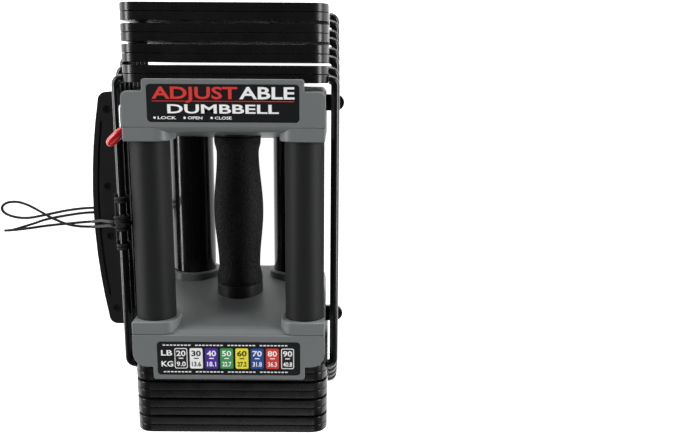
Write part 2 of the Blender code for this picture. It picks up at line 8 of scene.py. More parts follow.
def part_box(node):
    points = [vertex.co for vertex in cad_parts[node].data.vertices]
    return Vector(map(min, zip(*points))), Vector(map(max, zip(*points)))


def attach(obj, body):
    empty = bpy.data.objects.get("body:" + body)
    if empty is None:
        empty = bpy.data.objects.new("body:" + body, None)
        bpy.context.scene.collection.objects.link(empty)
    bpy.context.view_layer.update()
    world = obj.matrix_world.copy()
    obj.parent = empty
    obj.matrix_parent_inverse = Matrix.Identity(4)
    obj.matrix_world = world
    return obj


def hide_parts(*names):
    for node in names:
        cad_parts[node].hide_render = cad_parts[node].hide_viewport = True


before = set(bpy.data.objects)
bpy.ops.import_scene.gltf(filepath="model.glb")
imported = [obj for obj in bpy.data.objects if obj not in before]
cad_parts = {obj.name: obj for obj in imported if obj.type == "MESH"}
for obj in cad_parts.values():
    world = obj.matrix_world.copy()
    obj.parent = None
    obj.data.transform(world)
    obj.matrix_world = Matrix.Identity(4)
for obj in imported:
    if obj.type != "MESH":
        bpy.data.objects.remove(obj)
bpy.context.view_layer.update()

# ---- Where things stand ----
# The nest of weights is centred on its plates, and the handle core on its pillars. Every piece
# below is placed from these, or from the box of the part that it finishes.
plate_low, plate_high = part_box("weight_20_plate_rear")
BLOCK_X = (plate_low.x + plate_high.x) / 2
CORE_Y = (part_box("pillar_left")[0].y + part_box("pillar_left")[1].y) / 2
CORE_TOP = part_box("end_cap_rear")[1].z

# ---- Camera ----
# It looks down on the block from above the title end's right side, leaning back a little towards
# the chart end and rolled by a hair, with a slightly long lens set a little off its sensor's middle.
LENS_MM, SENSOR_MM = 39.3, 36.0
LENS_SHIFT = (0.0116, 0.0008)
NEAREST_SEEN = 0.01
CAMERA_PLACE = (BLOCK_X + 0.0969, 0.1487, 0.840)
CAMERA_TILT = math.radians(-11.5)
CAMERA_ROLL = math.radians(0.35)
camera_turn = Matrix.Rotation(CAMERA_TILT, 3, "X") @ Matrix.Rotation(CAMERA_ROLL, 3, "Z")
bpy.ops.object.select_all(action="DESELECT")
bpy.ops.object.camera_add(location=CAMERA_PLACE, rotation=camera_turn.to_euler())
camera = bpy.context.object
camera.data.lens = LENS_MM
camera.data.sensor_width = SENSOR_MM
camera.data.shift_x, camera.data.shift_y = LENS_SHIFT
camera.data.clip_start = NEAREST_SEEN
bpy.context.scene.camera = camera

# ---- Lanyard loops ----
# Two loops of 3 mm elastic cord with a braided sheath. They leave the hitch on the lightest weight's
# rail, drop over the pin's handle to the floor, bend back at their tips and run under the handle.
CORD_DIAMETER = 0.003
ROUTE_SPACING = 0.003
CURVE_STEPS = 16
WIDE_LOOP = (
    (-0.1083, -0.0005, 0.1560), (-0.1114, -0.0009, 0.1540), (-0.1165, -0.0025, 0.1440),
    (-0.1240, -0.0058, 0.1300), (-0.1350, -0.0105, 0.1100), (-0.1470, -0.0156, 0.0890),
    (-0.1545, -0.0188, 0.0760), (-0.1585, -0.0213, 0.0660), (-0.1605, -0.0244, 0.0500),
    (-0.1630, -0.0284, 0.0290), (-0.1670, -0.0318, 0.0130), (-0.1755, -0.0344, 0.0038),
    (-0.1880, -0.0349, 0.0018), (-0.1960, -0.0340, 0.0034), (-0.2060, -0.0319, 0.0052),
    (-0.2180, -0.0273, 0.0052), (-0.2270, -0.0230, 0.0052), (-0.2360, -0.0178, 0.0050),
    (-0.2490, -0.0112, 0.0030), (-0.2600, -0.0073, 0.0018), (-0.2680, -0.0062, 0.0017),
    (-0.2765, -0.0073, 0.0017), (-0.2825, -0.0118, 0.0017), (-0.2820, -0.0174, 0.0017),
    (-0.2770, -0.0213, 0.0017), (-0.2685, -0.0240, 0.0017), (-0.2594, -0.0251, 0.0017),
    (-0.2500, -0.0246, 0.0017), (-0.2350, -0.0217, 0.0017), (-0.2200, -0.0183, 0.0017),
    (-0.2050, -0.0154, 0.0017), (-0.1850, -0.0130, 0.0017), (-0.1550, -0.0118, 0.0017),
    (-0.1250, -0.0085, 0.0018), (-0.1125, -0.0060, 0.0045), (-0.1067, -0.0045, 0.0125),
    (-0.1059, -0.0035, 0.0260), (-0.1059, 0.0000, 0.0600), (-0.1059, 0.0040, 0.1050),
    (-0.1059, 0.0075, 0.1503))
NARROW_LOOP = (
    (-0.1083, 0.0040, 0.1575), (-0.1114, 0.0034, 0.1556), (-0.1165, 0.0018, 0.1460),
    (-0.1240, -0.0010, 0.1310), (-0.1350, -0.0050, 0.1100), (-0.1470, -0.0100, 0.0890),
    (-0.1545, -0.0130, 0.0760), (-0.1585, -0.0155, 0.0660), (-0.1605, -0.0185, 0.0500),
    (-0.1630, -0.0225, 0.0290), (-0.1670, -0.0260, 0.0130), (-0.1755, -0.0283, 0.0038),
    (-0.1900, -0.0295, 0.0018), (-0.2050, -0.0312, 0.0017), (-0.2200, -0.0326, 0.0017),
    (-0.2360, -0.0346, 0.0017), (-0.2520, -0.0370, 0.0017), (-0.2660, -0.0388, 0.0018),
    (-0.2745, -0.0393, 0.0043), (-0.2780, -0.0386, 0.0085), (-0.2745, -0.0376, 0.0128),
    (-0.2660, -0.0362, 0.0142), (-0.2560, -0.0334, 0.0112), (-0.2450, -0.0304, 0.0064),
    (-0.2350, -0.0272, 0.0028), (-0.2240, -0.0246, 0.0017), (-0.2050, -0.0211, 0.0017),
    (-0.1850, -0.0184, 0.0017), (-0.1550, -0.0172, 0.0017), (-0.1250, -0.0145, 0.0018),
    (-0.1125, -0.0122, 0.0045), (-0.1067, -0.0110, 0.0125), (-0.1059, -0.0100, 0.0260),
    (-0.1059, -0.0065, 0.0600), (-0.1059, -0.0025, 0.1050), (-0.1059, 0.0010, 0.1503))


def finish_recipe(name, colour, roughness, metallic=0.0):
    """A new finish. Returns it, its shader and a function that adds and joins a node.

    That function takes each input by its socket's name, or by its number after an underscore.
    """
    finish = bpy.data.materials.new(name)
    finish.use_nodes = True
    tree = finish.node_tree
    shader = tree.nodes["Principled BSDF"]
    shader.inputs["Base Color"].default_value = (*colour, 1.0)
    shader.inputs["Roughness"].default_value = roughness
    shader.inputs["Metallic"].default_value = metallic

    def node(kind, feeds=None, settings=None, **values):
        made = tree.nodes.new(f"ShaderNode{kind}")
        for key, value in (settings or {}).items():
            setattr(made, key, value)
        for key, value in values.items():
            socket = made.inputs[int(key[1:]) if key[0] == "_" else key.replace("_", " ")]
            if isinstance(value, bpy.types.NodeSocket):
                tree.links.new(value, socket)
            else:
                socket.default_value = value
        if feeds is not None:
            tree.links.new(made.outputs[0], feeds)
        return made
    return finish, shader, node


def braided_sheath(name, turns, rows):
    """Black woven sheath: two families of strands cross round the cord, along its own UV map, with painted
    shade darkening the hollows between them.
    """
    finish, shader, node = finish_recipe(name, (0.009, 0.009, 0.0095), 0.62)
    shader.inputs["Specular IOR Level"].default_value = 0.25
    place = node("UVMap")
    parts = node("SeparateXYZ", Vector=place.outputs[0])
    along = node("Math", settings={"operation": "MULTIPLY"}, _0=parts.outputs[0], _1=rows * 2 * math.pi)
    around = node("Math", settings={"operation": "MULTIPLY"}, _0=parts.outputs[1], _1=turns * 2 * math.pi)
    strands = []
    for way in ("ADD", "SUBTRACT"):
        slope = node("Math", settings={"operation": way}, _0=along.outputs[0], _1=around.outputs[0])
        strands.append(node("Math", settings={"operation": "SINE"}, _0=slope.outputs[0]))
    weave = node("Math", settings={"operation": "MAXIMUM"}, _0=strands[0].outputs[0],
                 _1=strands[1].outputs[0])
    # Painted shade: the colour goes darker in the low spots of the weave, between the crossing strands.
    weave_hollow_shade = node("MapRange", Value=weave.outputs[0], From_Min=-1.0, From_Max=1.0, To_Min=0.35, To_Max=1.0)
    node("Mix", shader.inputs["Base Color"], {"data_type": "RGBA"}, Factor=weave_hollow_shade.outputs[0],
         _6=(0.002, 0.002, 0.002, 1.0), _7=(0.010, 0.010, 0.0105, 1.0))
    node("Bump", shader.inputs["Normal"], Strength=0.6, Distance=0.0003, Height=weave.outputs[0])
    return finish


def smooth_route(points, spacing):
    """Evenly spaced points on a smooth curve through a cord's route."""
    places = [Vector(point) for point in points]
    places = [places[0] * 2 - places[1]] + places + [places[-1] * 2 - places[-2]]
    fine = []
    for p0, p1, p2, p3 in zip(places, places[1:], places[2:], places[3:]):
        for step in range(CURVE_STEPS):
            t = step / CURVE_STEPS
            fine.append(0.5 * (2 * p1 + (p2 - p0) * t + (2 * p0 - 5 * p1 + 4 * p2 - p3) * t * t
                               + (3 * p1 - p0 - 3 * p2 + p3) * t ** 3))
    fine.append(places[-2])
    length = sum((b - a).length for a, b in zip(fine, fine[1:]))
    count = round(length / spacing)
    even, run = [fine[0]], 0.0
    for a, b in zip(fine, fine[1:]):
        run += (b - a).length
        if run >= length / count * len(even) and len(even) < count:
            even.append(b)
    return even + [fine[-1]]


def pick_up(piece):
    """Leaves only this piece selected and active, so that the next operator acts on it alone."""
    bpy.ops.object.select_all(action="DESELECT")
    piece.select_set(True)
    bpy.context.view_layer.objects.active = piece


def applied(piece, kind, **settings):
    """Adds a modifier and applies it at once."""
    change = piece.modifiers.new(kind.lower(), kind)
    for key, value in settings.items():
        setattr(change, key, value)
    pick_up(piece)
    bpy.ops.object.modifier_apply(modifier=change.name)


def complete(piece, name, body, finish, nodes=(), angle=35):
    """Names a finished piece, puts its place in its mesh and gives it its finish and its body."""
    pick_up(piece)
    bpy.ops.object.transform_apply(location=True, rotation=True, scale=True)
    bpy.ops.object.shade_smooth_by_angle(angle=math.radians(angle))
    applied(piece, "WEIGHTED_NORMAL", keep_sharp=True)
    piece.name = piece.data.name = name
    piece.data.materials.clear()
    piece.data.materials.append(finish)
    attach(piece, body)
    if nodes:
        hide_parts(*nodes)
    return piece


def cord_along(points, diameter, resolution=3, swells=()):
    """A round cord or rod through the points, as a closed mesh; swells scale it at each point."""
    line = bpy.data.curves.new("cord", "CURVE")
    line.dimensions = "3D"
    line.bevel_depth = diameter / 2
    line.bevel_resolution = resolution
    line.use_fill_caps = True
    spline = line.splines.new("POLY")
    spline.points.add(len(points) - 1)
    for point, place in zip(spline.points, points):
        point.co = (*place, 1.0)
    for point, swell in zip(spline.points, swells):
        point.radius = swell
    cord = bpy.data.objects.new("cord", line)
    bpy.context.collection.objects.link(cord)
    pick_up(cord)
    bpy.ops.object.convert(target="MESH")
    bpy.ops.object.mode_set(mode="EDIT")
    bpy.ops.mesh.select_all(action="SELECT")
    bpy.ops.mesh.remove_doubles(threshold=1e-6)
    bpy.ops.mesh.normals_make_consistent(inside=False)
    bpy.ops.object.mode_set(mode="OBJECT")
    return bpy.context.object


LOOP_SHEATH = braided_sheath("braided_loop_sheath", 4, 260)
for loop_name, route in (("wide", WIDE_LOOP), ("narrow", NARROW_LOOP)):
    path = [point + Vector((BLOCK_X, 0.0, 0.0)) for point in smooth_route(route, ROUTE_SPACING)]
    loop_length = sum((b - a).length for a, b in zip(path, path[1:]))
    loop = complete(cord_along(path, CORD_DIAMETER), f"{loop_name}_lanyard_loop", "pin",
                    LOOP_SHEATH, [f"lanyard_{loop_name}_loop"], 60)
    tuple(path[0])

# ---- Lanyard hitch ----
# The same cord tied round the lightest weight's left rail: two turns at either end, a strand along
# the rail to each, and a tight knot in the middle where the loops leave.
hitch_low, hitch_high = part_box("lanyard_hitch")
hitch_middle = (hitch_low + hitch_high) / 2
RAIL_RADIUS = 0.004
WRAP_RADIUS = RAIL_RADIUS + CORD_DIAMETER / 2 + 0.0001
STRAND_SIDE = math.radians(150)
STRAND_START = 2.6 * CORD_DIAMETER
KNOT_FAR, KNOT_NEAR = 0.0120, -0.0050
KNOT_INSET = 0.0015
KNOT_RADIUS = WRAP_RADIUS + 0.0016
TURN_STEPS = 20


def wound(start, end, turns, radius, from_angle):
    """Points of a cord wound round the rail from one place along it to another."""
    steps = max(2, round(turns * TURN_STEPS))
    points = []
    for step in range(steps + 1):
        angle = from_angle + 2 * math.pi * turns * step / steps
        points.append(Vector((hitch_middle.x + radius * math.cos(angle),
                              start + (end - start) * step / steps,
                              hitch_middle.z + radius * math.sin(angle))))
    return points


far, near = hitch_high.y - CORD_DIAMETER / 2, hitch_low.y + CORD_DIAMETER / 2
winding = wound(far, far - 2 * CORD_DIAMETER, 2.0, WRAP_RADIUS, STRAND_SIDE)
winding += wound(far - STRAND_START, KNOT_FAR, 0.0, WRAP_RADIUS, STRAND_SIDE)
winding += wound(KNOT_FAR - KNOT_INSET, KNOT_NEAR + KNOT_INSET, 5.0, WRAP_RADIUS, STRAND_SIDE)
winding += wound(KNOT_NEAR, near + STRAND_START, 0.0, WRAP_RADIUS, STRAND_SIDE)
winding += wound(near + 2 * CORD_DIAMETER, near, 2.0, WRAP_RADIUS, STRAND_SIDE)
HITCH_SHEATH = braided_sheath("braided_hitch_sheath", 4, 150)
complete(cord_along(winding, CORD_DIAMETER - 0.0001), "rail_hitch", "weight_20", HITCH_SHEATH,
         ["lanyard_hitch"], 60)
knot = wound(KNOT_FAR - 0.001, KNOT_NEAR + 0.002, 1.5, KNOT_RADIUS, math.radians(60))
knot += wound(KNOT_NEAR + 0.005, KNOT_FAR - 0.003, 1.5, KNOT_RADIUS, math.radians(260))
complete(cord_along(knot, CORD_DIAMETER - 0.0004), "rail_knot", "weight_20", HITCH_SHEATH, (), 60)

# ---- Floor and light ----
# A white sweep that glows, in a room with bright walls and a dark ceiling: edges catch a light line
# and flat tops stay dark. Low soft boxes stand at either side and beyond the title end, and a high,
# weak one beyond the chart end.
WALL_LIGHT, CEILING_LIGHT, CHART_END_SHARE = 0.75, 0.02, 0.15
FLOOR_SIZE, FLOOR_DROP = 8.0, 0.0002
scene = bpy.context.scene
scene.view_settings.view_transform = "Standard"
bpy.ops.object.select_all(action="DESELECT")
bpy.ops.mesh.primitive_plane_add(size=FLOOR_SIZE, location=(0.0, 0.0, -FLOOR_DROP))
floor = bpy.context.object
floor.name = "floor"
floor_paint, floor_shader = finish_recipe("floor_paint", (0.86, 0.86, 0.86), 0.9)[:2]
floor_shader.inputs["Specular IOR Level"].default_value = 0.1
floor_shader.inputs["Emission Color"].default_value = (1.0, 1.0, 1.0, 1.0)
floor_shader.inputs["Emission Strength"].default_value = 1.0
floor.data.materials.append(floor_paint)

room = bpy.data.worlds.new("pale_room")
room.use_nodes = True
scene.world = room
room.node_tree.nodes["Background"].inputs["Color"].default_value = (1.0, 1.0, 1.0, 1.0)
room_nodes, room_links = room.node_tree.nodes, room.node_tree.links
room_parts = room_nodes.new("ShaderNodeSeparateXYZ")
room_links.new(room_nodes.new("ShaderNodeTexCoord").outputs["Generated"], room_parts.inputs[0])
room_share = room_nodes.new("ShaderNodeMath")
room_share.operation = "MULTIPLY"
for socket, axis, start, end, first, last in ((0, "Z", 0.1, 0.6, WALL_LIGHT, CEILING_LIGHT),
                                              (1, "Y", -0.5, 0.2, CHART_END_SHARE, 1.0)):
    fade = room_nodes.new("ShaderNodeMapRange")
    for key, value in (("From Min", start), ("From Max", end), ("To Min", first), ("To Max", last)):
        fade.inputs[key].default_value = value
    room_links.new(room_parts.outputs[axis], fade.inputs["Value"])
    room_links.new(fade.outputs[0], room_share.inputs[socket])
room_links.new(room_share.outputs[0], room_nodes["Background"].inputs["Strength"])


def soft_box(name, place, aim, width, height, power):
    """A rectangular soft light that faces a point."""
    bpy.ops.object.select_all(action="DESELECT")
    bpy.ops.object.light_add(type="AREA", location=place)
    light = bpy.context.object
    light.name = name
    light.data.shape = "RECTANGLE"
    light.data.size, light.data.size_y = width, height
    light.data.energy = power
    light.rotation_euler = (Vector(aim) - Vector(place)).to_track_quat("-Z", "Y").to_euler()


soft_box("left_box", (-1.2, 0.2, 0.70), (BLOCK_X, 0.0, 0.15), 1.4, 0.35, 17.0)
soft_box("right_box", (1.2, 0.2, 0.70), (BLOCK_X, 0.0, 0.15), 1.4, 0.35, 15.0)
soft_box("title_end_box", (0.0, 1.4, 0.20), (BLOCK_X, 0.0, 0.16), 1.6, 0.16, 18.0)
soft_box("chart_end_box", (0.1, -1.2, 1.3), (BLOCK_X, -0.1, 0.1), 1.2, 0.6, 4.0)

# ---- Weight plates ----
# Sixteen steel plates, sawn and rounded at the corners, with a black powder coat. Each weight has
# one at either end, and they nest in close pairs.
PLATE_CORNER, PLATE_EASE = 0.016, 0.0006
POUNDS = (20, 30, 40, 50, 60, 70, 80, 90)


def powder_coat(name, colour, roughness, texture):
    """Black baked powder: orange-peel skin, and a sheen that wanders a little."""
    finish, shader, node = finish_recipe(name, colour, roughness)
    place = node("TexCoord").outputs["Object"]
    skin = node("TexNoise", Vector=place, Scale=900.0, Detail=3.0, Roughness=0.6)
    cloud = node("TexNoise", Vector=place, Scale=35.0, Detail=4.0, Roughness=0.6)
    node("MapRange", shader.inputs["Roughness"], Value=cloud.outputs[0], From_Min=0.3, From_Max=0.7,
         To_Min=roughness - 0.06, To_Max=roughness + 0.08)
    node("Bump", shader.inputs["Normal"], Strength=texture, Distance=0.0002, Height=skin.outputs[0])
    return finish


def opened(piece, kind, test):
    """Opens a piece for editing with the faces or edges picked whose middle and direction pass a test."""
    pick_up(piece)
    bpy.ops.object.mode_set(mode="EDIT")
    bpy.ops.mesh.select_mode(type=kind)
    bpy.ops.mesh.select_all(action="DESELECT")
    bpy.ops.object.mode_set(mode="OBJECT")
    mesh = piece.data
    if kind == "FACE":
        for face in mesh.polygons:
            face.select = test(face.center, face.normal)
    else:
        for edge in mesh.edges:
            a, b = (mesh.vertices[i].co for i in edge.vertices)
            edge.select = test((a + b) / 2, (b - a).normalized())
    bpy.ops.object.mode_set(mode="EDIT")


def closed_up():
    """Leaves edit mode."""
    bpy.ops.object.mode_set(mode="OBJECT")


def block_of(low, high):
    """A box between two corners, its size and place in its mesh."""
    low, high = Vector(low), Vector(high)
    bpy.ops.object.select_all(action="DESELECT")
    bpy.ops.mesh.primitive_cube_add(size=1.0, location=(low + high) / 2, scale=high - low)
    bpy.ops.object.transform_apply(location=True, rotation=True, scale=True)
    return bpy.context.object


def round_corners(piece, axis, radius, segments):
    """Rounds the four corner edges that run along one axis."""
    opened(piece, "EDGE", lambda middle, way: abs(way[axis]) > 0.99)
    bpy.ops.mesh.bevel(offset=radius, segments=segments, affect="EDGES")
    closed_up()


def ease_edges(piece, width, segments=2):
    """Takes the sharpness off every edge that turns more than 40 degrees."""
    applied(piece, "BEVEL", width=width, segments=segments, limit_method="ANGLE",
            angle_limit=math.radians(40))


def copy_of(piece, shift):
    """A copy with its own mesh, moved inside that mesh."""
    twin = bpy.data.objects.new(piece.name, piece.data.copy())
    bpy.context.collection.objects.link(twin)
    twin.data.transform(Matrix.Translation(shift))
    return twin


PLATE_COAT = powder_coat("black_powder_coat", (0.006, 0.006, 0.0062), 0.26, 0.10)
plate = block_of(plate_low, plate_high)
round_corners(plate, 1, PLATE_CORNER, 8)
ease_edges(plate, PLATE_EASE)
for pounds in POUNDS:
    for end in ("rear", "front"):
        node_name = f"weight_{pounds}_plate_{end}"
        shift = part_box(node_name)[0].y - plate_low.y
        complete(copy_of(plate, (0.0, shift, 0.0)), f"{end}_plate_{pounds}", f"weight_{pounds}",
                 PLATE_COAT, [node_name], 30)
bpy.data.objects.remove(plate, do_unlink=True)

# ---- Side rails ----
# An 8 mm steel rod along either side of each weight, bent in and welded to the edges of its two
# plates, with the same coat. Each weight's rails lie a step below the lighter one's.
rail_low, rail_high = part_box("weight_20_rail_right")
RAIL_CENTRE = rail_high.x - RAIL_RADIUS
RAIL_BEND = 0.0055
RAIL_COAT = powder_coat("black_rail_coat", (0.008, 0.008, 0.0085), 0.17, 0.12)


def rod_start(radius, place, along, sides):
    """A filled disc, open for editing, from which a rod is drawn out."""
    turn = Vector(along).to_track_quat("Z", "Y").to_euler()
    bpy.ops.object.select_all(action="DESELECT")
    bpy.ops.mesh.primitive_circle_add(vertices=sides, radius=radius, fill_type="NGON", location=place,
                                      rotation=turn)
    bpy.ops.object.transform_apply(location=True, rotation=True, scale=True)
    bpy.ops.object.mode_set(mode="EDIT")
    bpy.ops.mesh.select_mode(type="FACE")
    bpy.ops.mesh.select_all(action="SELECT")
    return bpy.context.object


def drawn_out(vector):
    """Draws the open end of a rod out straight."""
    bpy.ops.mesh.extrude_region_move(TRANSFORM_OT_translate={"value": vector})


def bent(centre):
    """Bends the open end of a rod a quarter turn about an upright axis."""
    bpy.ops.mesh.spin(steps=8, angle=math.radians(90), center=centre, axis=(0.0, 0.0, 1.0))


def rod_end():
    """Closes a drawn rod: doubles merged and all its faces turned outwards."""
    bpy.ops.mesh.select_all(action="SELECT")
    bpy.ops.mesh.remove_doubles(threshold=1e-6)
    bpy.ops.mesh.normals_make_consistent(inside=False)
    bpy.ops.object.mode_set(mode="OBJECT")
    return bpy.context.object


reach = rail_high.y - RAIL_RADIUS
rail_z = (rail_low.z + rail_high.z) / 2
rod_start(RAIL_RADIUS, (rail_low.x, reach, rail_z), (1.0, 0.0, 0.0), 20)
drawn_out((RAIL_CENTRE - RAIL_BEND - rail_low.x, 0.0, 0.0))
bent((RAIL_CENTRE - RAIL_BEND, reach - RAIL_BEND, rail_z))
drawn_out((0.0, -2 * (reach - RAIL_BEND), 0.0))
bent((RAIL_CENTRE - RAIL_BEND, RAIL_BEND - reach, rail_z))
drawn_out((rail_low.x - RAIL_CENTRE + RAIL_BEND, 0.0, 0.0))
rail = rod_end()
for pounds in POUNDS:
    for hand in ("right", "left"):
        node_name = f"weight_{pounds}_rail_{hand}"
        low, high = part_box(node_name)
        copy = copy_of(rail, (0.0, 0.0, low.z - rail_low.z))
        for corner in copy.data.vertices:
            corner.co.y += math.copysign(high.y - rail_high.y, corner.co.y)
            if hand == "left":
                corner.co.x = 2 * BLOCK_X - corner.co.x
        if hand == "left":
            copy.data.flip_normals()
        complete(copy, f"{hand}_rail_{pounds}", f"weight_{pounds}", RAIL_COAT,
                 [node_name], 50)
bpy.data.objects.remove(rail, do_unlink=True)

# ---- End housings ----
# Two grey moulded blocks carry the whole core. Their inner faces slope, with sockets for the pillars,
# tubes and grip, and a slot across each lets the pin through. The mould leaves every edge eased.


def moulded_plastic(name, colour, roughness, grain, shine=0.5):
    """Injection-moulded plastic: spark-eroded grain and slight clouding."""
    finish, shader, node = finish_recipe(name, colour, roughness)
    shader.inputs["Specular IOR Level"].default_value = shine
    place = node("TexCoord").outputs["Object"]
    spark = node("TexNoise", Vector=place, Scale=1600.0, Detail=2.0, Roughness=0.6)
    cloud = node("TexNoise", Vector=place, Scale=22.0, Detail=3.0, Roughness=0.5)
    pale = tuple(min(1.0, part * 1.10) for part in colour)
    deep = tuple(part * 0.90 for part in colour)
    node("Mix", shader.inputs["Base Color"], {"data_type": "RGBA"}, Factor=cloud.outputs[0],
         _6=(*deep, 1.0), _7=(*pale, 1.0))
    node("MapRange", shader.inputs["Roughness"], Value=spark.outputs[0], From_Min=0.3, From_Max=0.7,
         To_Min=roughness - 0.05, To_Max=roughness + 0.07)
    node("Bump", shader.inputs["Normal"], Strength=grain, Distance=0.0001, Height=spark.outputs[0])
    return finish


def merged_copy(node_name):
    """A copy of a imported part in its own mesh, its loose triangles merged into whole faces."""
    piece = bpy.data.objects.new("moulding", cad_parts[node_name].data.copy())
    bpy.context.collection.objects.link(piece)
    pick_up(piece)
    bpy.ops.object.mode_set(mode="EDIT")
    bpy.ops.mesh.select_all(action="SELECT")
    bpy.ops.mesh.remove_doubles(threshold=2e-6)
    bpy.ops.mesh.dissolve_limited(angle_limit=math.radians(1.0))
    bpy.ops.object.mode_set(mode="OBJECT")
    return piece


def cut(piece, tool, way="DIFFERENCE"):
    """Cuts a tool out of a piece, or joins it on, and drops the tool."""
    applied(piece, "BOOLEAN", object=tool, operation=way)
    bpy.data.objects.remove(tool, do_unlink=True)


def box_at(side, x, y, z):
    """A box between pairs of bounds in the core's own frame, at its rear end (1) or front end (-1)."""
    ys = sorted((CORE_Y + side * y[0], CORE_Y + side * y[1]))
    return block_of((BLOCK_X + min(x), ys[0], z[0]), (BLOCK_X + max(x), ys[1], z[1]))


def eased_along(piece, width, test):
    """Rounds the sharp edges whose middles pass a test."""
    opened(piece, "EDGE", lambda middle, way: False)
    bpy.ops.mesh.edges_select_sharp(sharpness=math.radians(35))
    closed_up()
    mesh = piece.data
    for edge in mesh.edges:
        a, b = (mesh.vertices[i].co for i in edge.vertices)
        edge.select = edge.select and test((a + b) / 2)
    bpy.ops.object.mode_set(mode="EDIT")
    bpy.ops.mesh.bevel(offset=width, segments=3, affect="EDGES")
    closed_up()


def turned(centre, along, rings, sides=48, hollow=False):
    """A piece turned from (radius, place along) rings; a hollow one's last ring meets its first."""
    centre, along = Vector(centre), Vector(along).normalized()
    turn = along.to_track_quat("Z", "Y").to_euler()
    radius, place = rings[0]
    bpy.ops.object.select_all(action="DESELECT")
    bpy.ops.mesh.primitive_circle_add(vertices=sides, radius=radius, location=centre + along * place,
                                      rotation=turn, fill_type="NOTHING" if hollow else "NGON")
    bpy.ops.object.transform_apply(location=True, rotation=True, scale=True)
    bpy.ops.object.mode_set(mode="EDIT")
    bpy.ops.mesh.select_mode(type="VERT")
    bpy.ops.mesh.select_all(action="SELECT")
    for next_radius, next_place in rings[1:]:
        if hollow:
            bpy.ops.mesh.extrude_edges_move()
        else:
            bpy.ops.mesh.extrude_region_move()
        bpy.ops.transform.translate(value=along * (next_place - place))
        ratio = next_radius / radius
        bpy.ops.transform.resize(value=(ratio, ratio, ratio), center_override=centre + along * next_place)
        radius, place = next_radius, next_place
    bpy.ops.mesh.select_all(action="SELECT")
    bpy.ops.mesh.remove_doubles(threshold=1e-7)
    if hollow:
        bpy.ops.mesh.select_all(action="DESELECT")
        bpy.ops.mesh.select_non_manifold()
        bpy.ops.mesh.bridge_edge_loops()
        bpy.ops.mesh.select_all(action="SELECT")
    bpy.ops.mesh.normals_make_consistent(inside=False)
    bpy.ops.object.mode_set(mode="OBJECT")
    return bpy.context.object


def round_tool(side, x, z, radius, near, far, ease=0.0):
    """A round tool along Y in the core's own frame, its near rim eased."""
    rings = [(radius - ease, near), (radius, near + ease)] if ease else [(radius, near)]
    rings.append((radius, far))
    return turned((BLOCK_X + x, CORE_Y, z), (0.0, side, 0.0), rings, 64)


GREY_MOULDING = moulded_plastic("grey_moulding", (0.170, 0.182, 0.183), 0.42, 0.25)
HALF_WIDTH, FAR_END, SEAM, RIM, FOOT = 0.091, 0.130, 0.098, 0.094, 0.0720
CORE_FOOT, CAP_THICKNESS, CLEAR, INNER_EASE = 0.003, 0.006, 0.0003, 0.0010
CORE_CORNERS = {"rear": 0.006, "front": 0.013}
# The pin's slot crosses the housing and is open at its foot. Tools reach past the block on every side.
SLOT, SLOT_TOP = (0.1058, 0.1242), 0.153
PAST_SIDES, PAST_END, PAST_FOOT, PAST_TOP = (-0.1, 0.1), 0.14, -0.01, 0.2
EDGE_MARGIN, FACE_MARGIN, SHY = 0.01, 0.001, 0.00005
# A boss stands on the rim in each corner, and a lip round each tube at the chart end.
BOSS_INNER, BOSS_FACE, BOSS_FOOT, BOSS_CORNER, BOSS_EASE = 0.049, 0.0849, 0.1325, 0.015, 0.0014
LIP_RADIUS, LIP_FACE, LIP_ROOT, LIP_EASE = 0.0283, 0.0705, 0.088, 0.0012
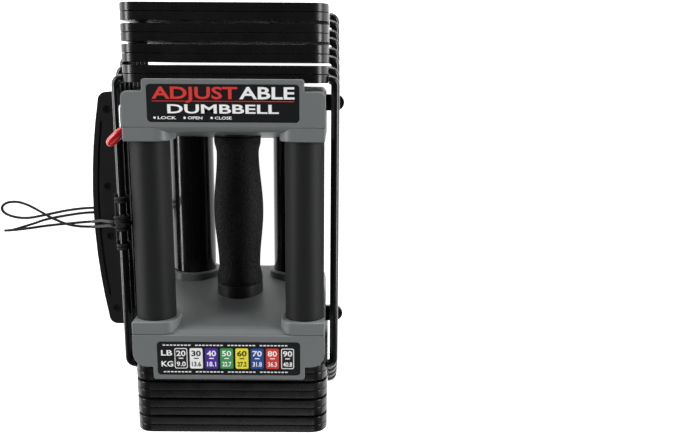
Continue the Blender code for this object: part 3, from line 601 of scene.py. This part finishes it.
# Sockets: where they are across the core and up, then radius, start and end along the core.
TUBE_AT = (0.0564, 0.032)
SIDE_SOCKETS = (((0.0715, 0.155), 0.0188, 0.06, 0.096), (TUBE_AT, 0.0238, 0.06, 0.091),
                (TUBE_AT, 0.0210, 0.088, 0.135))
GRIP_Z = 0.080
GRIP_SOCKETS = ((0.0243, 0.06, 0.088), (0.0128, 0.08, 0.104))
PIVOT, PIVOT_BORE = (BLOCK_X - 0.0875, 0.113, 0.167), [(0.0027, -0.008), (0.0027, 0.007)]
for end, side in (("rear", 1), ("front", -1)):
    housing = box_at(side, (-HALF_WIDTH, HALF_WIDTH), (FOOT, FAR_END), (CORE_FOOT, CORE_TOP))
    for corner in housing.data.vertices:
        if corner.co.z > CORE_TOP / 2 and side * (corner.co.y - CORE_Y) < SEAM:
            corner.co.y = CORE_Y + side * RIM
    eased_along(housing, CORE_CORNERS[end], lambda at: side * (at.y - CORE_Y) > FAR_END - FACE_MARGIN
                and CORE_FOOT + EDGE_MARGIN < at.z < CORE_TOP - EDGE_MARGIN)
    eased_along(housing, INNER_EASE, lambda at: side * (at.y - CORE_Y) < SEAM)
    cut(housing, box_at(side, PAST_SIDES, (SEAM - CLEAR, PAST_END),
                        (CORE_TOP - CAP_THICKNESS - CLEAR, PAST_TOP)))
    for hand in (-1, 1):
        boss = box_at(side, (hand * BOSS_INNER, hand * (HALF_WIDTH - SHY)), (BOSS_FACE, SEAM - CLEAR),
                      (BOSS_FOOT, CORE_TOP - SHY))
        opened(boss, "EDGE",
               lambda at, way: abs(way.y) > 0.99 and abs(at.x - BLOCK_X) < HALF_WIDTH - EDGE_MARGIN)
        bpy.ops.mesh.bevel(offset=BOSS_CORNER, segments=10, affect="EDGES")
        closed_up()
        eased_along(boss, BOSS_EASE, lambda at: side * (at.y - CORE_Y) < BOSS_FACE + FACE_MARGIN)
        cut(housing, boss, "UNION")
        if end == "front":
            cut(housing, round_tool(side, hand * TUBE_AT[0], TUBE_AT[1], LIP_RADIUS, LIP_FACE, LIP_ROOT,
                                    LIP_EASE), "UNION")
    cut(housing, box_at(side, PAST_SIDES, SLOT, (PAST_FOOT, SLOT_TOP)))
    for hand in (-1, 1):
        for (across, up), radius, near_end, far_end in SIDE_SOCKETS:
            cut(housing, round_tool(side, hand * across, up, radius, near_end, far_end))
    for radius, near_end, far_end in GRIP_SOCKETS:
        cut(housing, round_tool(side, 0.0, GRIP_Z, radius, near_end, far_end))
    if end == "rear":
        cut(housing, turned(PIVOT, (1.0, 0.0, 0.0), PIVOT_BORE))
    complete(housing, f"{end}_housing", "handle", GREY_MOULDING, [f"end_housing_{end}"], 30)

# ---- End caps ----
# A cover over each housing, of the same grey plastic, with a hair-fine seam against it. Its tab lies
# over the first plates, and a sunk bed holds the label.
CAP_EASE, HAIR_SEAM = 0.0007, 0.00003
for end, side in (("rear", 1), ("front", -1)):
    cap = merged_copy(f"end_cap_{end}")
    for corner in cap.data.vertices:
        if side * (corner.co.y - CORE_Y) < SEAM + 0.0001:
            corner.co.y -= side * (CLEAR - HAIR_SEAM)
    eased_along(cap, CAP_EASE,
                lambda at: at.z > CORE_TOP - 0.0005 and side * (at.y - CORE_Y) > SEAM + FACE_MARGIN)
    complete(cap, f"{end}_cap", "handle", GREY_MOULDING, [f"end_cap_{end}"], 30)

# ---- Label panels ----
# Near-black printed panels bonded into the beds. The chart end's has a coloured tile for each weight,
# in pounds and kilograms, and the title end's a plain generic title with its lever marks.
INK_LIFT = 0.0001
PANEL_TOP = CORE_TOP - 0.0001
PANEL_CORNER, PANEL_EASE = 0.003, 0.0001
LETTER_SWELL, LETTER_DEPTH = 0.022, 0.02


def printing_ink(name, colour):
    """Flat screen-printed ink with a slightly broken surface."""
    finish, shader, node = finish_recipe(name, colour, 0.45)
    place = node("TexCoord").outputs["Object"]
    speck = node("TexNoise", Vector=place, Scale=2500.0, Detail=2.0)
    pale = tuple(min(1.0, part * 1.04 + 0.004) for part in colour)
    deep = tuple(part * 0.93 for part in colour)
    node("Mix", shader.inputs["Base Color"], {"data_type": "RGBA"}, Factor=speck.outputs[0],
         _6=(*deep, 1.0), _7=(*pale, 1.0))
    return finish


INKS = {"white": printing_ink("white_ink", (0.96, 0.96, 0.96)),
        "black": printing_ink("black_ink", (0.008, 0.008, 0.009)),
        "red": printing_ink("red_ink", (0.72, 0.045, 0.035)),
        "purple": printing_ink("purple_ink", (0.075, 0.022, 0.36)),
        "green": printing_ink("green_ink", (0.045, 0.34, 0.09)),
        "yellow": printing_ink("yellow_ink", (0.92, 0.84, 0.04)),
        "blue": printing_ink("blue_ink", (0.012, 0.075, 0.34))}
LABEL_FILM = moulded_plastic("label_film", (0.008, 0.009, 0.010), 0.45, 0.1, 0.25)


def inked(piece, colour):
    """Gives a print its ink."""
    piece.data.materials.clear()
    piece.data.materials.append(INKS[colour])
    return piece


def bar(middle, width, height, radius, level, colour):
    """A printed bar with round corners; level is how many coats of ink lie under it."""
    low = (middle[0] - width / 2, middle[1] - height / 2, PANEL_TOP + (level - 1) * INK_LIFT / 2)
    high = (middle[0] + width / 2, middle[1] + height / 2, PANEL_TOP + (level + 1) * INK_LIFT / 2)
    piece = block_of(low, high)
    if radius:
        round_corners(piece, 2, radius, 4)
    return inked(piece, colour)


def words(text, middle, width, height, level, colour):
    """Printed letters or figures, fitted to a width and a height round a middle."""
    bpy.ops.object.select_all(action="DESELECT")
    bpy.ops.object.text_add()
    piece = bpy.context.object
    piece.data.body = text
    piece.data.offset = LETTER_SWELL
    piece.data.resolution_u = 3
    piece.data.extrude = LETTER_DEPTH
    bpy.ops.object.convert(target="MESH")
    piece = bpy.context.object
    low = Vector([min(corner.co[axis] for corner in piece.data.vertices) for axis in range(3)])
    high = Vector([max(corner.co[axis] for corner in piece.data.vertices) for axis in range(3)])
    low.y = -LETTER_SWELL       # a letter's tail hangs below the fitted height
    size = high - low
    lift = PANEL_TOP + level * INK_LIFT / 2
    scale = Matrix.Diagonal((width / size.x, height / size.y, INK_LIFT / size.z, 1.0))
    put = Matrix.Translation((middle[0], middle[1], lift))
    piece.data.transform(put @ scale @ Matrix.Translation(-(low + high) / 2))
    pick_up(piece)
    bpy.ops.object.mode_set(mode="EDIT")
    bpy.ops.mesh.select_all(action="SELECT")
    bpy.ops.mesh.remove_doubles(threshold=1e-7)
    bpy.ops.object.mode_set(mode="OBJECT")
    return inked(piece, colour)


def joined(prints, name):
    """All of a panel's ink as one piece."""
    bpy.ops.object.select_all(action="DESELECT")
    for piece in prints:
        piece.select_set(True)
    bpy.context.view_layer.objects.active = prints[0]
    bpy.ops.object.join()
    piece = bpy.context.object
    piece.name = piece.data.name = name
    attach(piece, "handle")


panels = {}
for end in ("rear", "front"):
    low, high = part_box(f"label_panel_{end}")
    panel = block_of(low, (high.x, high.y, PANEL_TOP))
    round_corners(panel, 2, PANEL_CORNER, 5)
    ease_edges(panel, PANEL_EASE, 1)
    complete(panel, f"{end}_label_panel", "handle", LABEL_FILM, [f"label_panel_{end}"], 30)
    panels[end] = (low + high) / 2

# The chart: a row of tiles 14.5 mm apart, each with pounds over a dash over kilograms, between two
# rows of plain dashes, in four groups of eight.
TILES = (("20", "9.0", "black", "white"), ("30", "13.6", "white", "black"),
         ("40", "18.1", "purple", "white"), ("50", "22.7", "green", "white"),
         ("60", "27.2", "yellow", "black"), ("70", "31.8", "blue", "white"),
         ("80", "36.3", "red", "white"), ("90", "40.8", "black", "white"))
TILE_PITCH, TILE_WIDTH, TILE_HEIGHT, TILE_BORDER = 0.01446, 0.01225, 0.0205, 0.0016
FIRST_TILE, DASH, KILO_LINE = -0.0453, (0.0044, 0.0010), -0.0054
TICK_ROW, FIRST_TICK, TICK_PITCH, TICK = 0.0134, -0.0610, 0.0034, (0.0024, 0.0011)
middle = panels["front"]
chart = [words("LB", (middle.x - 0.0588, middle.y + 0.0056), 0.0106, 0.0055, 1, "white"),
         words("KG", (middle.x - 0.0585, middle.y + KILO_LINE), 0.0112, 0.0056, 1, "white")]
for number, (pounds, kilograms, ground, figure) in enumerate(TILES):
    x = middle.x + FIRST_TILE + TILE_PITCH * number
    spot = (x, middle.y + 0.0002)
    if ground == "black":
        chart.append(bar(spot, TILE_WIDTH, TILE_HEIGHT, 0.0017, 1, "white"))
        chart.append(bar(spot, TILE_WIDTH - TILE_BORDER, TILE_HEIGHT - TILE_BORDER, 0.0011, 2, "black"))
    else:
        chart.append(bar(spot, TILE_WIDTH, TILE_HEIGHT, 0.0014, 1, ground))
    chart.append(words(pounds, (x, middle.y + 0.0053), 0.0089, 0.0055, 3, figure))
    chart.append(bar((x, middle.y + 0.0003), *DASH, 0.0, 3, figure))
    chart.append(words(kilograms, (x, middle.y + KILO_LINE), 0.0086, 0.0047, 3, figure))
for row in (TICK_ROW, -TICK_ROW):
    for tick in range(36):
        if tick % 9 != 8:
            spot = (middle.x + FIRST_TICK + TICK_PITCH * tick, middle.y + row)
            chart.append(bar(spot, *TICK, 0.0, 1, "white"))
joined(chart, "chart_ink")

# The title: a generic two-line title over a thin red rule, and three small marks for the lever.
TITLE_LINE, RULE_LINE, KIND_LINE, MARK_LINE = 0.0092, 0.0019, -0.0049, -0.0128
TITLE_HEIGHT, MARK_HEIGHT, SPOT_WIDTH, SPOT_GAP = 0.0108, 0.0026, 0.0022, 0.0028
middle = panels["rear"]
title = [words("ADJUST", (middle.x - 0.0250, middle.y + TITLE_LINE), 0.0760, TITLE_HEIGHT, 1, "red"),
         words("ABLE", (middle.x + 0.0390, middle.y + TITLE_LINE), 0.0490, TITLE_HEIGHT, 1, "white"),
         bar((middle.x, middle.y + RULE_LINE), 0.1260, 0.0006, 0.0, 1, "red"),
         words("DUMBBELL", (middle.x, middle.y + KIND_LINE), 0.0990, 0.0080, 1, "white")]
for text, x, width in (("LOCK", -0.0500, 0.0165), ("OPEN", -0.0250, 0.0130), ("CLOSE", 0.0000, 0.0150)):
    title.append(words(text, (middle.x + x, middle.y + MARK_LINE), width, MARK_HEIGHT, 1, "white"))
    title.append(bar((middle.x + x - width / 2 - SPOT_GAP, middle.y + MARK_LINE), SPOT_WIDTH, SPOT_WIDTH,
                     0.0009, 1, "white"))
joined(title, "title_ink")

# ---- Pillars ----
# Two black moulded tubes across the top of the core brace its ends and guide the hand. They are
# matt, with a faint spark-eroded grain.


def pipe(node_name, wall, edge=0.0004):
    """A pipe in the place of a packed one along Y, its ends eased."""
    low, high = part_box(node_name)
    radius, half = (high.x - low.x) / 2, (high.y - low.y) / 2
    rings = [(radius - edge, half), (radius, half - edge), (radius, edge - half), (radius - edge, -half),
             (radius - wall + edge, -half), (radius - wall, edge - half), (radius - wall, half - edge),
             (radius - wall + edge, half)]
    return turned((low + high) / 2, (0.0, 1.0, 0.0), rings, 64, True)


PILLAR_PLASTIC = moulded_plastic("black_pillar_plastic", (0.011, 0.0115, 0.0115), 0.55, 0.15, 0.22)
PILLAR_WALL = 0.003
for hand in ("left", "right"):
    complete(pipe(f"pillar_{hand}", PILLAR_WALL), f"{hand}_pillar", "handle",
             PILLAR_PLASTIC, [f"pillar_{hand}"])

# ---- Adder tubes and weights ----
# Gloss black steel tubes join the housings low down, and each holds a chromed steel rod that adds
# two and a half pounds.
TUBE_WALL, ROD_EASE = 0.0025, 0.0015
TUBE_COAT = powder_coat("gloss_tube_coat", (0.008, 0.008, 0.0085), 0.16, 0.12)
CHROME_PLATE, chrome_shader, chrome_node = finish_recipe("chrome_plate", (0.80, 0.80, 0.82), 0.10, 1.0)
smear = chrome_node("TexNoise", Vector=chrome_node("TexCoord").outputs["Object"], Scale=120.0, Detail=3.0)
chrome_node("MapRange", chrome_shader.inputs["Roughness"], Value=smear.outputs[0], To_Min=0.06, To_Max=0.2)
for hand in ("left", "right"):
    complete(pipe(f"adder_tube_{hand}", TUBE_WALL), f"{hand}_adder_tube", "handle",
             TUBE_COAT, [f"adder_tube_{hand}"])
    low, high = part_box(f"adder_weight_{hand}")
    radius, half = (high.x - low.x) / 2, (high.y - low.y) / 2
    rings = [(radius - ROD_EASE, half), (radius, half - ROD_EASE), (radius, ROD_EASE - half),
             (radius - ROD_EASE, -half)]
    complete(turned((low + high) / 2, (0.0, 1.0, 0.0), rings), f"{hand}_adder_weight", "handle",
             CHROME_PLATE, [f"adder_weight_{hand}"])

# ---- Grip ----
# A steel tube between the housings carries a black rubber sleeve, fuller at the palm and drawn in
# near its ends, with a pebbled skin. A smooth black collar stands at either end of it.
PALM, WAIST, FLANGE = 0.0255, 0.0215, 0.0238
WAIST_PLACE, FLANGE_PLACE = 0.060, 0.072
SLEEVE_EASE, RING_PITCH, BAR_CLEAR = 0.0008, 0.0038, 0.0003
GRIP_STEEL, steel_shader, steel_node = finish_recipe("drawn_steel", (0.42, 0.42, 0.43), 0.35, 1.0)
drawing = steel_node("TexNoise", Vector=steel_node("TexCoord").outputs["Object"], Scale=700.0)
steel_node("Bump", steel_shader.inputs["Normal"], Strength=0.1, Distance=0.0001, Height=drawing.outputs[0])
GRIP_RUBBER, rubber_shader, rubber_node = finish_recipe("pebbled_rubber", (0.005, 0.005, 0.0052), 0.55)
rubber_shader.inputs["Specular IOR Level"].default_value = 0.35
rubber_place = rubber_node("TexCoord").outputs["Object"]
pebbles = rubber_node("TexVoronoi", Vector=rubber_place, Scale=480.0)
wander = rubber_node("TexNoise", Vector=rubber_place, Scale=300.0, Detail=3.0)
rise = rubber_node("Math", settings={"operation": "SUBTRACT"}, _0=wander.outputs[0], _1=pebbles.outputs[0])
rubber_node("Bump", rubber_shader.inputs["Normal"], Strength=1.0, Distance=0.0009, Height=rise.outputs[0])
rubber_node("MapRange", rubber_shader.inputs["Roughness"], Value=pebbles.outputs[0], To_Min=0.48, To_Max=0.8)


def grip_radius(place):
    """The sleeve's outline: palm, waist and flange, joined by smooth curves."""
    place = abs(place)
    if place < WAIST_PLACE:
        return PALM - (PALM - WAIST) * (1 - math.cos(math.pi * place / WAIST_PLACE)) / 2
    along = min(1.0, (place - WAIST_PLACE) / (FLANGE_PLACE - WAIST_PLACE))
    return WAIST + (FLANGE - WAIST) * (1 - math.cos(math.pi * along)) / 2


complete(pipe("grip_bar", 0.003, 0.0003), "grip_tube", "handle", GRIP_STEEL, ["grip_bar"])
low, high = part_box("grip_sleeve")
sleeve_middle, grip_end = (low + high) / 2, (high.y - low.y) / 2
bar_radius = (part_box("grip_bar")[1].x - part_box("grip_bar")[0].x) / 2
rings = [(grip_radius(grip_end) - SLEEVE_EASE, grip_end)]
places = [grip_end - SLEEVE_EASE - i * RING_PITCH for i in range(40)]
rings += [(grip_radius(place), place) for place in places if place > SLEEVE_EASE - grip_end]
rings += [(grip_radius(grip_end), SLEEVE_EASE - grip_end), (grip_radius(grip_end) - SLEEVE_EASE, -grip_end),
          (bar_radius + BAR_CLEAR, -grip_end), (bar_radius + BAR_CLEAR, grip_end)]
complete(turned(sleeve_middle, (0.0, 1.0, 0.0), rings, 64, True), "rubber_sleeve", "handle",
         GRIP_RUBBER, ["grip_sleeve"], 50)
COLLAR_PLASTIC = moulded_plastic("black_collar_plastic", (0.022, 0.022, 0.022), 0.38, 0.08, 0.40)
for end in ("rear", "front"):
    low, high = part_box(f"grip_collar_{end}")
    collar_wall = (high.x - low.x) / 2 - bar_radius
    complete(pipe(f"grip_collar_{end}", collar_wall - BAR_CLEAR, 0.0008), f"{end}_grip_collar", "handle",
             COLLAR_PLASTIC, [f"grip_collar_{end}"])

# ---- Lock lever ----
# A bent steel wire hinged in the rear housing's left side, with a dipped vinyl tip that the thumb
# finds by its colour. The tip is a curved, round-ended sleeve that covers the wire's bend.
PIVOT_Y, LEVER_Z, LEVER_X = PIVOT[1], PIVOT[2], BLOCK_X - 0.0934
KNEE_RADIUS, INNER_REACH = 0.0025, 0.0094
BEND_RADIUS, BEND_Y, BEND_TURN = 0.004, 0.092, 50
WIRE_DIAMETER, WIRE_END, TIP_DIAMETER, TIP_LENGTH = 0.0042, 0.009, 0.0090, 0.0170
MOUTH_SWELLS, TIP_STEPS, TIP_ROUNDING = [0.62, 0.70, 0.76], 14, 0.45


def turn_about(centre, radius, start, end, steps):
    """Points of a level arc round a centre, from one angle to another in degrees."""
    angles = [math.radians(start + (end - start) * i / steps) for i in range(steps + 1)]
    return [Vector((centre[0] + radius * math.cos(a), centre[1] + radius * math.sin(a), centre[2]))
            for a in angles]


bend = turn_about((LEVER_X - BEND_RADIUS, BEND_Y, LEVER_Z), BEND_RADIUS, 0, -BEND_TURN, 6)
way_out = (bend[-1] - bend[-2]).normalized()
knee = turn_about((LEVER_X + KNEE_RADIUS, PIVOT_Y - KNEE_RADIUS, LEVER_Z), KNEE_RADIUS, 90, 180, 6)
wire = [Vector((LEVER_X + INNER_REACH, PIVOT_Y, LEVER_Z))] + knee + bend + [bend[-1] + way_out * WIRE_END]
complete(cord_along(wire, WIRE_DIAMETER), "lever_wire", "lever", GRIP_STEEL, ["lock_lever"], 50)

TIP_RED, red_shader, red_node = finish_recipe("dipped_red_vinyl", (0.56, 0.010, 0.014), 0.16)
red_shader.inputs["Coat Weight"].default_value = 0.5
red_shader.inputs["Coat Roughness"].default_value = 0.08
red_shader.inputs["Subsurface Weight"].default_value = 0.08
red_shader.inputs["Subsurface Scale"].default_value = 0.002
runs = red_node("TexNoise", Vector=red_node("TexCoord").outputs["Object"], Scale=220.0, Detail=2.0)
red_node("Bump", red_shader.inputs["Normal"], Strength=0.15, Distance=0.0004, Height=runs.outputs[0])
sleeve_route = [Vector((LEVER_X, BEND_Y + 0.0012 - 0.0004 * i, LEVER_Z)) for i in range(3)] + bend
swells = MOUTH_SWELLS + [0.80 + 0.02 * i for i in range(len(bend))]
for step in range(1, TIP_STEPS + 1):
    along = step / TIP_STEPS
    sleeve_route.append(bend[-1] + way_out * TIP_LENGTH * math.sin(along * math.pi / 2))
    rounding = max(0.0, along - TIP_ROUNDING) / (1 - TIP_ROUNDING)
    swells.append(max(0.02, math.cos(rounding * math.pi / 2)) ** 0.9)
complete(cord_along(sleeve_route, TIP_DIAMETER, 5, swells), "vinyl_tip", "lever", TIP_RED,
         ["lever_tip"], 60)

# ---- Selector pin ----
# A flat steel U, powder coated, slides through both housings just under the chosen weight's rails.
# Two black shells screwed together over its bar make the handle, with a groove for the fingertips.
prongs = merged_copy("pin_prongs")
ease_edges(prongs, 0.0007)
complete(prongs, "pin_fork", "pin", RAIL_COAT, ["pin_prongs"])
HANDLE_PLASTIC = moulded_plastic("black_handle_plastic", (0.008, 0.008, 0.0083), 0.42, 0.2, 0.28)
BOW_RADIUS, GROOVE_INSET, GROOVE_WIDTH, GROOVE_ENDS = 0.635, 0.0065, 0.0030, (-0.095, 0.092)
SHELL_EASE = 0.0014
shell_low, shell_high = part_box("pin_handle_top")
for level in ("top", "bottom"):
    shell = merged_copy(f"pin_handle_{level}")
    ease_edges(shell, SHELL_EASE, 3)
    if level == "top":
        reach = BOW_RADIUS - GROOVE_INSET
        ends = [math.degrees(math.asin(place / reach)) for place in GROOVE_ENDS]
        centre = (shell_low.x + BOW_RADIUS, CORE_Y, shell_high.z + 0.0002)
        cut(shell, cord_along(turn_about(centre, reach, 180 + ends[0], 180 + ends[1], 40), GROOVE_WIDTH))
    complete(shell, f"{level}_handle_shell", "pin", HANDLE_PLASTIC,
             [f"pin_handle_{level}"], 30)
SCREW_STEEL = finish_recipe("blackened_screw", (0.06, 0.06, 0.062), 0.3, 1.0)[0]
SHANK_RADIUS, HEAD_EASE, HEAD_DEPTH = 0.0015, 0.0004, 0.0014
RECESS_FLOOR, RECESS_RIM, RECESS_DEPTH = 0.0012, 0.0016, 0.0009
for number in range(1, 5):
    low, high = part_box(f"pin_screw_{number}")
    head, top = (high.x - low.x) / 2, high.z - (low.z + high.z) / 2
    rings = [(RECESS_FLOOR, top - RECESS_DEPTH), (RECESS_RIM, top), (head - HEAD_EASE, top),
             (head, top - HEAD_EASE), (head, top - HEAD_DEPTH), (SHANK_RADIUS, top - HEAD_DEPTH),
             (SHANK_RADIUS, -top)]
    complete(turned((low + high) / 2, (0.0, 0.0, 1.0), rings, 32), f"handle_screw_{number}", "pin",
             SCREW_STEEL, [f"pin_screw_{number}"])
